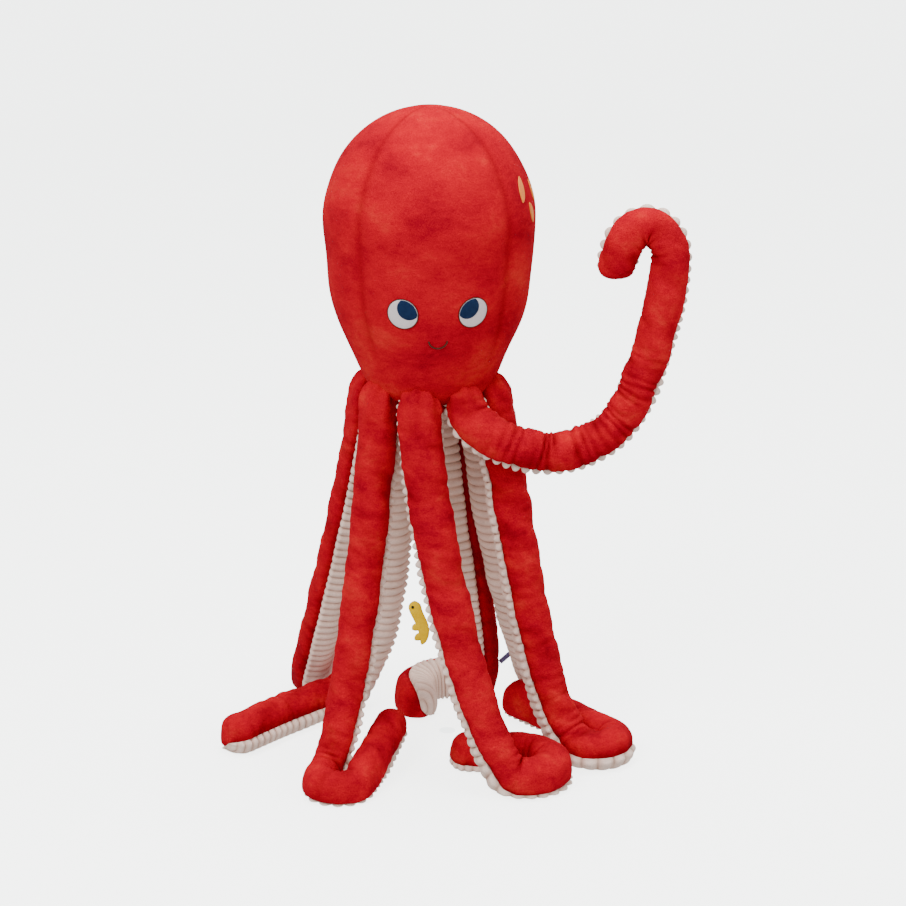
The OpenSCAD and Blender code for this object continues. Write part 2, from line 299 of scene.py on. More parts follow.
# ---------- uneven cloth ----------
def ripple(s, phi, seed, longest, turns=4, waves=7):
    """Smooth unevenness between about -1 and 1 over an arm's length and around it."""
    rng = np.random.RandomState(seed)
    total = np.zeros(np.broadcast(s, phi).shape)
    for _ in range(waves):
        wave = longest * rng.uniform(0.35, 1.0)
        around = rng.randint(0, turns + 1)
        total = total + np.sin(2 * np.pi * s / wave + around * phi + rng.uniform(0, 6.28))
    return total / math.sqrt(waves)


def stations(start, stop, step):
    """Lengths of cloth from start to stop in even steps."""
    count = max(2, round((stop - start) / step))
    return start + (stop - start) * np.arange(count + 1) / count


def on_centre(q, length):
    """The length along the centre line, and the share of the radius, at a length of cloth."""
    over = np.clip((q - (length - TIP_ROUND)) / CAP_LENGTH, 0, 1) * np.pi / 2
    s = np.where(q > length - TIP_ROUND, length - TIP_ROUND + TIP_ROUND * np.sin(over), q)
    return s, np.cos(over) ** CAP_POWER


def pressed(z):
    """Heights of cloth near the floor, flattened where it rests."""
    above = 0.5 * (z + np.sqrt(z * z + 1.0))
    eased = smooth((above - PRESSED_BELOW) / PRESSED_EASE)
    return above * (PRESSED_SHARE + (1 - PRESSED_SHARE) * eased)


class Arm:
    """The cloth of one arm: red plush on its outer side and corduroy on its inner side."""

    def __init__(self, name, route, radius_of, seed, crumpled=None):
        self.name = name
        self.crumpled = crumpled
        self.route = route
        self.radius_of = radius_of
        self.seed = seed
        self.end = route.length - TIP_ROUND + CAP_LENGTH

    def frames(self, q):
        s, share = on_centre(q, self.route.length)
        centre = self.route.sample(self.route.centre, s)
        tangent = unit(self.route.sample(self.route.tangent, s))
        normal = self.route.sample(self.route.normal, s)
        normal = unit(normal - (normal * tangent).sum(-1, keepdims=True) * tangent)
        over = np.clip((DOME_LEN - TUCK_LEN - s) / DOME_LEN, 0, DOME_MOST)
        dome = (1 - over ** DOME_POWER) ** (1 / DOME_POWER)
        return s, centre, tangent, normal, self.radius_of(s) * share * dome, share

    def folds(self, q, phi, bend, outward, radius):
        """Creases on the inside of a bend, deeper where the arm bends more."""
        inner = np.clip((bend[:, None, :] * outward).sum(-1) * radius[:, None], 0, 1)
        amount = np.minimum(1.0, 1.35 * inner) ** 0.8
        wander = 5.0 * ripple(q, phi, self.seed + 5, 90.0, turns=2, waves=4)
        wave = np.abs(np.sin(np.pi * (q + wander) / FOLD_PITCH)) ** 0.6
        return -FOLD_DEPTH * amount * (1 - wave)

    def plush(self, q, phi, radius, bend, outward):
        """Height of the plush over the tube, and how much painted shade darkens its hollows."""
        height = 0.9 * ripple(q, phi, self.seed, 130.0)
        height += 0.35 * ripple(q, phi, self.seed + 1, 34.0, turns=7)
        wander = 4.0 * ripple(q, phi, self.seed + 2, 110.0, turns=2, waves=4)
        patches = np.clip(ripple(q, phi, self.seed + 3, 150.0, turns=1, waves=4), 0, 1)
        crease = 1 - np.abs(np.sin(np.pi * (q + wander) / CREASE_PITCH)) ** 0.5
        height -= CREASE_DEPTH * patches * crease
        height += self.folds(q, phi, bend, outward, radius)
        shift = 2 * ripple(q, 0, self.seed + 4, 80.0)
        pucker = 0.5 + 0.5 * np.sin(2 * np.pi * q / PUCKER_PITCH + shift)
        from_seam = SEAM_AT - np.abs(phi)
        height -= np.exp(-(from_seam / PUCKER_WIDTH) ** 2) * PUCKER_DEPTH * pucker
        height -= SEAM_DEPTH * np.exp(-(from_seam / SEAM_WIDTH) ** 2)
        height -= self.crumples(q, phi)
        # the second value is painted shade: the deeper the plush dips, the darker its colour
        return height, np.clip(-height / 5.0, 0, 1)

    def crumples(self, q, phi):
        """Close wrinkles across the arm where its cloth is pushed together."""
        if self.crumpled is None:
            return 0.0
        start, stop = self.crumpled
        amount = smooth((q - start) / 40) * smooth((stop - q) / 60)
        amount = amount * (0.65 + 0.35 * ripple(q, phi, self.seed + 8, 60.0, turns=2))
        wander = 3.0 * ripple(q, phi, self.seed + 9, 70.0, turns=3, waves=5)
        wave = np.abs(np.sin(np.pi * (q + wander) / CRUMPLE_PITCH))
        return CRUMPLE_DEPTH * np.maximum(amount, 0) * (1 - wave)

    def corduroy(self, q, phi, radius, bend, outward):
        """Height of the corduroy over the tube, and how high each point lies on its wale."""
        wander = 0.9 * ripple(q, phi, self.seed + 6, 160.0, turns=2, waves=5)
        wave = np.abs(np.sin(np.pi * (q + wander) / WALE_PITCH))
        ridge = wave ** WALE_POWER
        from_seam = np.pi - SEAM_AT - np.abs(np.pi - phi)
        lip = np.exp(-((from_seam - LIP_AT) / LIP_WIDTH) ** 2)
        seam = np.exp(-(from_seam / STITCH_WIDTH) ** 2)
        height = WALE_HEIGHT * (ridge - WALE_LEVEL)
        height += lip * (LIP_HEIGHT * ridge - LIP_SINK)
        height -= seam * STITCH_DEPTH
        height += 0.8 * ripple(q, phi, self.seed + 7, 140.0)
        height += 0.6 * self.folds(q, phi, bend, outward, radius)
        return height, ridge

    def half(self, kind, start, stop):
        """Grid of points of one side from start to stop, and a value at each point for the colour: painted
        shade on the plush, height on its wale on the corduroy.
        """
        if kind == "plush":
            step = PLUSH_STEP
            middle = 0
            spread = SEAM_AT
        else:
            step = WALE_PITCH / WALE_STEPS
            middle = np.pi
            spread = np.pi - SEAM_AT
        q = stations(start, stop, step)
        t = np.linspace(0, 1, COLUMNS + 1)
        closer = 0.45 * t + 0.55 * (1 - np.cos(np.pi * t)) / 2
        phi = spread * (2 * closer - 1) + middle
        s, centre, tangent, normal, radius, share = self.frames(q)
        side = np.cross(tangent, normal)
        outward = (normal[:, None, :] * np.cos(phi)[None, :, None]
                   + side[:, None, :] * np.sin(phi)[None, :, None])
        bend = self.route.sample(self.route.bend, s)
        shape = getattr(self, kind)
        height, shade = shape(q[:, None], phi[None, :], radius, bend, outward)
        gather = smooth(1 - (s + 8) / 55)[:, None]
        pleat = PLEAT_DEPTH * np.sin(PLEATS * phi + self.seed)[None, :] * gather
        reach = radius[:, None] + (height + pleat) * np.minimum(1, share[:, None] * 1.6)
        points = centre[:, None, :] + outward * np.maximum(reach, 0.2)[..., None]
        tip = (1 - share)[:, None, None] * tangent[:, None, :] * np.maximum(height, -2.0)[..., None]
        points = points + 0.6 * tip
        points[..., 2] = pressed(points[..., 2])
        return points, shade


# ---------- meshes ----------
def new_object(name, points, faces, smooth_count=None):
    """An object from points in millimetres; faces from smooth_count on are flat-shaded."""
    mesh = bpy.data.meshes.new(name)
    mesh.from_pydata((np.asarray(points) * MM).tolist(), [], faces)
    flags = np.ones(len(mesh.polygons), bool)
    if smooth_count is not None:
        flags[smooth_count:] = False
    mesh.polygons.foreach_set("use_smooth", flags)
    mesh.update()
    obj = bpy.data.objects.new(name, mesh)
    bpy.context.scene.collection.objects.link(obj)
    return obj


def grid_faces(rows, columns, around=False):
    """Quads of a grid, which face out when its columns run clockwise seen along the rows."""
    last = columns if around else columns - 1
    i, j = np.meshgrid(np.arange(rows - 1), np.arange(last), indexing="ij")
    a = i * columns + j
    b = i * columns + (j + 1) % columns
    return np.stack([a, b, b + columns, a + columns], axis=-1).reshape(-1, 4).tolist()


def shade_layer(obj, values):
    """Keeps a value at each point for the material to darken the cloth by: painted shade, and on the
    corduroy also its darker ground in the grooves.
    """
    layer = obj.data.attributes.new("shade", "FLOAT", "POINT")
    layer.data.foreach_set("value", np.asarray(values, np.float32).ravel())


def half_solid(name, grid, shade):
    """A closed solid from a half tube: its cloth, a flat back from seam to seam and two ends."""
    rows, columns = grid.shape[:2]
    points = grid.reshape(-1, 3)
    faces = grid_faces(rows, columns)
    count = len(faces)
    edge = np.concatenate([grid[:, 0], grid[:, -1]])
    first = len(points)
    for i in range(rows - 1):
        faces.append([first + i, first + i + 1, first + rows + i + 1, first + rows + i])
    caps = np.concatenate([grid[0], grid[-1]])
    base = first + len(edge)
    faces.append(list(range(base + columns - 1, base - 1, -1)))
    faces.append(list(range(base + columns, base + 2 * columns)))
    obj = new_object(name, np.concatenate([points, edge, caps]), faces, count)
    spare = np.concatenate([shade[:, 0], shade[:, -1], shade[0], shade[-1]])
    shade_layer(obj, np.concatenate([shade.ravel(), spare]))
    return obj


def tube(name, line, radius, sides=10):
    """A closed round tube along a line, with a radius for the whole line or for each point."""
    line = np.asarray(line, float)
    tangent = unit(np.gradient(line, axis=0))
    radius = np.broadcast_to(radius, len(line))
    askew = (0.31, 0.17, 0.94)  # a direction that no tube starts along
    normal = np.cross(tangent[0], askew)
    rings = []
    angle = 2 * np.pi * np.arange(sides) / sides
    for p, t, r in zip(line, tangent, radius):
        normal = unit(normal - (normal @ t) * t)
        side = np.cross(t, normal)
        rings.append(p + r * (np.cos(angle)[:, None] * normal + np.sin(angle)[:, None] * side))
    faces = grid_faces(len(line), sides, around=True)
    faces.append(list(range(sides))[::-1])
    faces.append(list(range((len(line) - 1) * sides, len(line) * sides)))
    return new_object(name, np.concatenate(rings), faces)


def finished(obj, material):
    """Gives a piece its material."""
    obj.data.materials.append(material)
    return obj


# ---------- node helpers ----------
class Nodes:
    """A material under construction, with short calls for the nodes that it uses."""

    def __init__(self, name):
        self.material = bpy.data.materials.new(name)
        self.material.use_nodes = True
        self.tree = self.material.node_tree
        self.shader = self.tree.nodes["Principled BSDF"]

    def add(self, kind, **values):
        node = self.tree.nodes.new(kind)
        for key, value in values.items():
            setattr(node, key, value)
        return node

    def link(self, source, target):
        self.tree.links.new(source, target)

    def place(self, scale=(1, 1, 1)):
        where = self.add("ShaderNodeTexCoord")
        mapping = self.add("ShaderNodeMapping")
        mapping.inputs["Scale"].default_value = scale
        self.link(where.outputs["Object"], mapping.inputs["Vector"])
        return mapping.outputs["Vector"]

    def noise(self, scale, detail=3.0, rough=0.55, stretch=(1, 1, 1), distort=0.0):
        node = self.add("ShaderNodeTexNoise")
        node.inputs["Scale"].default_value = scale
        node.inputs["Detail"].default_value = detail
        node.inputs["Roughness"].default_value = rough
        node.inputs["Distortion"].default_value = distort
        self.link(self.place(stretch), node.inputs["Vector"])
        return node.outputs["Fac"]

    def ramp(self, source, stops):
        node = self.add("ShaderNodeValToRGB")
        elements = node.color_ramp.elements
        while len(elements) < len(stops):
            elements.new(0.5)
        for element, (at, colour) in zip(elements, stops):
            element.position = at
            element.color = (*colour, 1)
        self.link(source, node.inputs["Fac"])
        return node.outputs["Color"]

    def mix(self, factor, a, b, blend="MIX"):
        node = self.add("ShaderNodeMix", data_type="RGBA", blend_type=blend)
        for socket, value in zip((node.inputs[0], node.inputs[6], node.inputs[7]), (factor, a, b)):
            if isinstance(value, bpy.types.NodeSocket):
                self.link(value, socket)
            elif isinstance(value, tuple):
                socket.default_value = (*value, 1)
            else:
                socket.default_value = value
        return node.outputs[2]

    def math(self, operation, a, b):
        node = self.add("ShaderNodeMath", operation=operation)
        for socket, value in zip(node.inputs, (a, b)):
            if isinstance(value, bpy.types.NodeSocket):
                self.link(value, socket)
            else:
                socket.default_value = value
        return node.outputs[0]

    def attribute(self, name):
        return self.add("ShaderNodeAttribute", attribute_name=name).outputs["Fac"]

    def bump(self, height, strength, distance):
        node = self.add("ShaderNodeBump")
        node.inputs["Strength"].default_value = strength
        node.inputs["Distance"].default_value = distance
        self.link(height, node.inputs["Height"])
        self.link(node.outputs["Normal"], self.shader.inputs["Normal"])

    def cloth(self, colour, roughness, sheen, sheen_roughness, tint):
        self.link(colour, self.shader.inputs["Base Color"])
        self.shader.inputs["Roughness"].default_value = roughness
        self.shader.inputs["Specular IOR Level"].default_value = 0.04
        self.shader.inputs["Sheen Weight"].default_value = sheen
        self.shader.inputs["Sheen Roughness"].default_value = sheen_roughness
        self.shader.inputs["Sheen Tint"].default_value = (*tint, 1)
        return self.material


# ---------- materials ----------
def plush_material(name, size):
    """Short red pile, deep crimson where it lies down and coral where it is brushed up."""
    n = Nodes(name)
    brushed = n.noise(14 * size, 3, 0.55, (1, 1, 1.4), 0.3)
    clumps = n.noise(90 * size, 4, 0.65, (1, 1, 1.8), 0.4)
    hairs = n.noise(900, 2, 0.7)
    both = n.math("ADD", n.math("MULTIPLY", brushed, 0.72), n.math("MULTIPLY", clumps, 0.28))
    base = n.ramp(both, [(0.34, (0.31, 0.0, 0.011)), (0.45, (0.43, 0.0, 0.012)),
                         (0.56, (0.52, 0.002, 0.013)), (0.68, (0.61, 0.018, 0.018))])
    fine = n.ramp(hairs, [(0.3, (0.72, 0.72, 0.72)), (0.7, (1.12, 1.12, 1.12))])
    colour = n.mix(1.0, base, fine, "MULTIPLY")
    # Painted shade: the shade attribute mixes in a deep crimson in the plush's hollows, along the head's
    # seams and over the panel under the head.
    colour = n.mix(n.attribute("shade"), colour, (0.13, 0.0, 0.003))
    pile = n.math("ADD", n.math("MULTIPLY", hairs, 0.6), n.math("MULTIPLY", clumps, 0.9))
    n.bump(pile, 0.55, 0.0022)
    return n.cloth(colour, 0.95, 0.05, 0.4, (1.0, 0.10, 0.08))


def corduroy_material():
    """Jumbo corduroy: pale pink ridges of cut pile with darker ground showing in the grooves, darkened
    further there by painted shade.
    """
    n = Nodes("corduroy_beige")
    # Darker towards the grooves by the height on the wale: partly the ground's own colour, partly painted
    # shade in the grooves.
    ridge = n.ramp(n.attribute("shade"), [(0.0, (0.36, 0.20, 0.15)), (0.30, (0.60, 0.40, 0.32)),
                                          (0.55, (0.80, 0.58, 0.48)), (1.0, (0.90, 0.71, 0.62))])
    tone = n.ramp(n.noise(22, 4, 0.6), [(0.3, (0.86, 0.84, 0.83)), (0.7, (1.08, 1.07, 1.06))])
    fine = n.noise(1100, 2, 0.6)
    speck = n.ramp(fine, [(0.3, (0.82, 0.80, 0.79)), (0.7, (1.1, 1.1, 1.1))])
    colour = n.mix(1.0, n.mix(1.0, ridge, tone, "MULTIPLY"), speck, "MULTIPLY")
    n.bump(n.math("ADD", fine, n.noise(240, 3, 0.6)), 0.4, 0.0012)
    return n.cloth(colour, 0.9, 0.08, 0.45, (1.0, 0.84, 0.76))


def embroidery_material(name, low, high, direction):
    """Satin stitches side by side, with a soft gloss along the thread."""
    n = Nodes(name)
    stitches = n.add("ShaderNodeTexWave", wave_type="BANDS", bands_direction=direction)
    stitches.inputs["Scale"].default_value = 700
    stitches.inputs["Distortion"].default_value = 1.5
    stitches.inputs["Detail"].default_value = 2
    n.link(n.place(), stitches.inputs["Vector"])
    uneven = n.noise(160, 4, 0.6)
    thread = n.math("MULTIPLY", stitches.outputs["Fac"], 0.5)
    shade = n.math("ADD", thread, n.math("MULTIPLY", uneven, 0.5))
    colour = n.ramp(shade, [(0.2, low), (0.75, high)])
    n.bump(stitches.outputs["Fac"], 0.5, 0.0006)
    return n.cloth(colour, 0.5, 0.15, 0.3, (1, 1, 1))


def felt_material():
    """Yellow felt with loose fibres."""
    n = Nodes("felt_yellow")
    fibres = n.noise(420, 5, 0.7, distort=1.0)
    patches = n.noise(60, 3, 0.6)
    mixed = n.math("ADD", n.math("MULTIPLY", fibres, 0.5), n.math("MULTIPLY", patches, 0.5))
    colour = n.ramp(mixed, [(0.3, (0.62, 0.36, 0.0)), (0.5, (0.80, 0.50, 0.0)),
                            (0.7, (0.92, 0.64, 0.005))])
    n.bump(fibres, 0.6, 0.0014)
    return n.cloth(colour, 0.95, 0.1, 0.5, (1.0, 0.85, 0.2))


def ribbon_material():
    """Violet-blue ribbon with a plain weave."""
    n = Nodes("ribbon_violet")
    weave = n.add("ShaderNodeTexChecker")
    weave.inputs["Scale"].default_value = 1600
    n.link(n.place(), weave.inputs["Vector"])
    colour = n.mix(weave.outputs["Fac"], (0.16, 0.16, 0.38), (0.26, 0.26, 0.52))
    n.bump(weave.outputs["Fac"], 0.4, 0.0003)
    return n.cloth(colour, 0.45, 0.2, 0.3, (0.8, 0.8, 1.0))


def bead_material():
    """Black thread of the sea creature's eye."""
    n = Nodes("eye_thread_black")
    colour = n.ramp(n.noise(500, 2), [(0.3, (0.004, 0.004, 0.005)), (0.7, (0.02, 0.018, 0.02))])
    return n.cloth(colour, 0.35, 0.1, 0.3, (1, 1, 1))


def floor_material():
    """Pale studio paper that glows by itself, as an overexposed backdrop does."""
    n = Nodes("studio_floor")
    colour = n.ramp(n.noise(3, 2), [(0.3, (0.86, 0.875, 0.87)), (0.7, (0.90, 0.91, 0.905))])
    n.shader.inputs["Emission Color"].default_value = (0.97, 1.0, 0.985, 1)
    n.shader.inputs["Emission Strength"].default_value = FLOOR_GLOW
    return n.cloth(colour, 0.75, 0.0, 0.5, (1, 1, 1))


HEAD_PLUSH = plush_material("plush_red_head", 1.0)
PLUSH = plush_material("plush_red_arms", 1.7)
CORDUROY = corduroy_material()
EYE_WHITE = embroidery_material("eye_white", (0.62, 0.52, 0.53), (0.86, 0.80, 0.80), "Z")
EYE_NAVY = embroidery_material("eye_navy", (0.003, 0.009, 0.035), (0.012, 0.035, 0.10), "X")
THREAD = embroidery_material("thread_brown", (0.035, 0.008, 0.006), (0.12, 0.03, 0.018), "Z")
ORANGE = embroidery_material("embroidery_orange", (0.72, 0.16, 0.02), (0.92, 0.32, 0.06), "Z")
FELT = felt_material()
RIBBON = ribbon_material()
BEAD = bead_material()


# ---------- arms ----------
def on_wale(q):
    """The groove between wales nearest to a length of cloth, so that pieces part inside it."""
    return WALE_PITCH * round(q / WALE_PITCH)


def arm_pieces(arm, cuts, joints, links):
    """Both sides of an arm, parted at the cuts; the joints are not used."""
    for kind, layer, material in (("plush", "cover", PLUSH), ("corduroy", "underside", CORDUROY)):
        for (start, stop), (a, b, low, high), (part, link) in zip(cuts, joints, links):
            grid, shade = arm.half(kind, start, stop)
            obj = half_solid(f"{arm.name}_{part}_{kind}", grid, shade)
            finished(obj, material)
            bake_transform(obj)
            nodes = [f"{arm.name}_{link}_{layer}"]
            if kind == "plush":
                nodes.append(f"{arm.name}_{link}_filling")
            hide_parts(*nodes)


def standing_arm(index, plan):
    """A standing arm, whose cloth parts between its root and its knee."""
    name = plan.name
    route = Route(arm_points(plan), compass(plan.plush_azimuth), plan.twist, plan.twist_span)
    radius_of = narrowing(plan.root_r, plan.foot_r, route.length, start=0.45)
    arm = Arm(name, route, radius_of, seed=100 * index)
    knee = KNEE_SHARE * route.length
    middle = on_wale(0.45 * knee)
    cuts = [(-TUCK_LEN, middle), (middle, arm.end)]
    joints = [("base", f"{name}_upper", route.place(-12), route.place(middle - 12)),
              (f"{name}_upper", f"{name}_lower", route.place(middle + 20), route.place(knee + 70))]
    arm_pieces(arm, cuts, joints, [("root", "upper"), ("shaft", "lower")])


def raised_arm():
    """The raised arm, whose cloth parts above its elbow and between elbow and wrist."""
    route = Route(raised_points(), RAISED_NORMAL, RAISED_TWIST)
    radius_of = narrowing(RAISED_ROOT_R, RAISED_R, route.length, start=0.1)
    arm = Arm("raised_arm", route, radius_of, seed=900, crumpled=CRUMPLED)
    elbow, wrist = [share * route.length for share in RAISED_BENDS]
    first = on_wale(0.42 * elbow)
    second = on_wale(0.5 * (elbow + wrist))
    cuts = [(-TUCK_LEN, first), (first, second), (second, arm.end)]
    wrist_low = route.place(wrist - 26)
    wrist_high = wrist_low + 50 * unit(np.array([-0.3, 0, 0.95]))
    joints = [("base", "raised_arm_upper", route.place(-14), route.place(first - 8)),
              ("raised_arm_upper", "raised_arm_middle",
               route.place(elbow - 50), route.place(elbow + 36)),
              ("raised_arm_middle", "raised_arm_tip", wrist_low, wrist_high)]
    arm_pieces(arm, cuts, joints, [("root", "upper"), ("elbow", "middle"), ("curl", "tip")])


# ---------- head ----------
HEAD_COLUMNS = 96
HEAD_ROWS = 56
GORES = 4
GORE_PUFF = 3.2             # how far the middle of a gore swells out
GORE_SINK = 1.8             # how far the cloth lies inside the outline at its seams
HEAD_SEAM_DEPTH = 1.0
HEAD_SEAM_WIDTH = 0.11      # where the middle of a gore counts as 1
HEAD_WAVES = 0.9            # height of the unevenness of the cover
CLOTH_FRAMES = 20
EYE_RIM = 0.7               # width of the eye that shows beside its pupil at the least
SMILE = (186, 354)          # the part of a circle that the mouth follows, in degrees


def head_outline():
    """Radius and height along the outline from the underside to the pole, evenly spaced."""
    z = np.linspace(CHIN_Z, HEAD_WIDE_Z, 40)
    low = np.stack([HEAD_R * (1 - ((HEAD_WIDE_Z - z) / HEAD_FALL) ** HEAD_POWER), z], axis=1)
    a = np.linspace(0, np.pi / 2, 40)[1:]
    top = np.stack([HEAD_R * np.cos(a), HEAD_WIDE_Z + (HEAD_TOP_Z - HEAD_WIDE_Z) * np.sin(a)], axis=1)
    line = np.vstack([CHIN, low, top])
    along = travelled(line)
    even = np.linspace(0, along[-1], HEAD_ROWS + 1)
    return np.stack([np.interp(even, along, line[:, k]) for k in range(2)], axis=1)


def head_grid():
    """Rings of the head, with a column on each seam, and how near each point is to a seam."""
    outline = head_outline()
    outline[1:-1] = 0.5 * outline[1:-1] + 0.25 * (outline[:-2] + outline[2:])
    azimuth = GORE_TURN + 45 + 360 * np.arange(HEAD_COLUMNS) / HEAD_COLUMNS
    gore = np.abs(np.sin(np.radians(GORES / 2 * (azimuth - GORE_TURN - 45))))
    r = outline[:, 0][:, None]
    z = outline[:, 1][:, None]
    upper = smooth((z - CHIN_Z - 30) / 60)
    puff = GORE_PUFF * gore[None, :] ** 0.6 * upper
    seam = np.exp(-(gore[None, :] / HEAD_SEAM_WIDTH) ** 2) * upper
    r = r + (puff - GORE_SINK - HEAD_SEAM_DEPTH * seam) * smooth(r / 50)
    r = r + HEAD_WAVES * ripple(z, np.radians(azimuth)[None, :], 31, 180.0, turns=3)
    r = np.maximum(r, 0.3)
    outward = np.array([compass(a) for a in azimuth])
    points = HEAD_AXIS + outward[None] * r[..., None]
    points[..., 2] = z + 0 * r
    return points, seam + 0 * r


def tighten_by_cloth(obj, pins, pressure, limit):
    """Inflate the mesh as cloth held at its pins, then leave it there, moved by limit at most."""
    mesh = obj.data
    before = np.empty(len(mesh.vertices) * 3)
    mesh.vertices.foreach_get("co", before)
    group = obj.vertex_groups.new(name="held")
    for index, weight in enumerate(pins):
        if weight > 0.02:
            group.add([index], float(weight), "REPLACE")
    cloth = obj.modifiers.new("cloth", "CLOTH")
    settings = cloth.settings
    settings.quality = 6
    settings.mass = 0.25
    settings.tension_stiffness = 12
    settings.compression_stiffness = 6
    settings.shear_stiffness = 6
    settings.bending_stiffness = 0.4
    settings.use_pressure = True
    settings.uniform_pressure_force = pressure
    settings.vertex_group_mass = "held"
    settings.effector_weights.gravity = 0
    cloth.collision_settings.use_collision = False
    scene = bpy.context.scene
    for number in range(1, CLOTH_FRAMES + 1):
        scene.frame_set(number)
    graph = bpy.context.evaluated_depsgraph_get()
    posed = obj.evaluated_get(graph).to_mesh()
    after = np.empty(len(posed.vertices) * 3)
    posed.vertices.foreach_get("co", after)
    obj.modifiers.clear()
    obj.vertex_groups.clear()
    scene.frame_set(1)
    move = (after - before).reshape(-1, 3)
    size = np.linalg.norm(move, axis=1, keepdims=True)
    move *= np.minimum(1, limit / np.maximum(size, 1e-9))
    mesh.vertices.foreach_set("co", (before.reshape(-1, 3) + move).ravel())
    mesh.update()


def head():
    """The head's cover: four puffed gores, tightened by a cloth step."""
    points, seam = head_grid()
    rows, columns = points.shape[:2]
    faces = [list(reversed(f)) for f in grid_faces(rows, columns, around=True)]
    faces.append(list(range(columns)))
    faces.append(list(range((rows - 1) * columns, rows * columns))[::-1])
    obj = new_object("head_plush", points.reshape(-1, 3), faces)
    # Painted shade: the plush is darkened along the gore seams.
    shade_layer(obj, 0.35 * seam)
    pins = seam.copy()
    pins[:8] = 1
    pins[-2:] = 1
    tighten_by_cloth(obj, pins.ravel(), pressure=4.0, limit=0.005)
    subdivide = obj.modifiers.new("smooth", "SUBSURF")
    subdivide.levels = 1
    subdivide.render_levels = 1
    finished(obj, HEAD_PLUSH)
    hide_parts("head_cover", "head_filling")
    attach(obj, "head")
    return obj


class Surface:
    """Finds points on the finished head as seen from outside at an azimuth."""

    def __init__(self, obj):
        graph = bpy.context.evaluated_depsgraph_get()
        self.tree = BVHTree.FromObject(obj, graph)

    def at(self, azimuth, x, z, lift):
        outward = compass(azimuth)
        across = np.array([-outward[1], outward[0], 0])
        start = HEAD_AXIS + 250 * outward + x * across
        start[2] = z
        hit, normal, _, _ = self.tree.ray_cast(Vector(start * MM), Vector(-outward))
        return np.array(hit) / MM + lift * np.array(normal)


def patch(name, surface, azimuth, z, outline, lift, thick):
    """A padded embroidered patch with an outline of (x, z) points, laid on the head."""
    outline = np.array(outline, float)
    middle = outline.mean(0)
    rings = [(1.0, -0.8), (1.0, 0.35 * thick), (0.97, 0.7 * thick), (0.92, 0.9 * thick), (0.8, thick),
             (0.6, thick), (0.4, thick), (0.2, thick), (0.03, thick)]
    points = []
    for share, height in rings:
        for x, up in middle + share * (outline - middle):
            points.append(surface.at(azimuth, x, z + up, lift + height))
    count = len(outline)
    faces = grid_faces(len(rings), count, around=True)
    faces.append(list(range(count))[::-1])
    faces.append(list(range((len(rings) - 1) * count, len(rings) * count)))
    return new_object(name, points, faces)


def circle_outline(radius, count=48):
    a = 2 * np.pi * np.arange(count) / count
    return np.stack([radius * np.cos(a), radius * np.sin(a)], axis=1)


def pupil_outline(side, count=48):
    """The pupil's circle, cut off where it meets the edge of the eye."""
    centre = np.array([side * PUPIL_SHIFT[0], PUPIL_SHIFT[1]])
    eye_r = EYE_D / 2 - EYE_RIM
    points = []
    for a in 2 * np.pi * np.arange(count) / count:
        d = np.array([math.cos(a), math.sin(a)])
        along = d @ centre
        to_edge = -along + math.sqrt(along ** 2 - centre @ centre + eye_r ** 2)
        points.append(centre + d * min(PUPIL_D / 2, to_edge))
    return points


def leaf_outline(length, width, tilt, count=32):
    """A pointed oval, turned by tilt."""
    a = 2 * np.pi * np.arange(count) / count
    x = length / 2 * np.cos(a)
    y = width / 2 * np.sin(a) * np.abs(np.sin(a)) ** 0.4
    c = math.cos(math.radians(tilt))
    s = math.sin(math.radians(tilt))
    return np.stack([x * c - y * s, x * s + y * c], axis=1)


def joined(name, objects):
    """Several objects as one piece."""
    with bpy.context.temp_override(active_object=objects[0], selected_editable_objects=objects):
        bpy.ops.object.join()
    objects[0].name = name
    return objects[0]


def face(surface):
    """Two eyes with pupils and dark rims, and a stitched smile."""
    eye_outline = circle_outline(EYE_D / 2)
    ring = circle_outline(EYE_D / 2 + 0.3, 49)
    ring[-1] = ring[0]
    eyes = []
    pupils = []
    rims = []
    for side in (-1, 1):
        azimuth = -FACE_TURN - side * EYE_ANGLE
        eyes.append(patch(f"eye_{side}", surface, azimuth, EYE_Z, eye_outline, 0.2, 0.9))
        pupil_edge = pupil_outline(-side)
        pupils.append(patch(f"pupil_{side}", surface, azimuth, EYE_Z, pupil_edge, 0.9, 0.8))
        line = [surface.at(azimuth, x, EYE_Z + z, 0.5) for x, z in ring]
        rims.append(tube(f"rim_{side}", line, 0.6, 8))
    eye = finished(joined("eye_patches_sewn", eyes), EYE_WHITE)
    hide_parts("eye_patches")
    pupil = finished(joined("eye_pupils_sewn", pupils), EYE_NAVY)
    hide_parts("eye_pupils")
    rim = finished(joined("eye_rims_sewn", rims), THREAD)
    mouth_r = MOUTH_D / 2
    line = []
    for a in np.radians(np.linspace(*SMILE, 33)):
        z = MOUTH_Z + mouth_r * math.sin(a) * 0.95
        line.append(surface.at(-FACE_TURN, mouth_r * math.cos(a), z, 0.3))
    mouth = finished(tube("mouth_sewn", line, 0.95), THREAD)
    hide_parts("mouth_stitch")
    for piece in (eye, pupil, rim, mouth):
        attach(piece, "head")


def side_embroidery(surface):
    """A few plain leaf shapes in orange thread on the +X side of the head."""
    leaves = [(-66, 700, 30, 11, 68), (-73, 672, 26, 10, 110), (-82, 694, 24, 9, 85)]
    made = []
    for i, (azimuth, z, length, width, tilt) in enumerate(leaves):
        outline = leaf_outline(length, width, tilt)
        made.append(patch(f"leaf_{i}", surface, azimuth, z, outline, 0.1, 0.9))
    piece = finished(joined("side_leaves_sewn", made), ORANGE)
    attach(piece, "head")


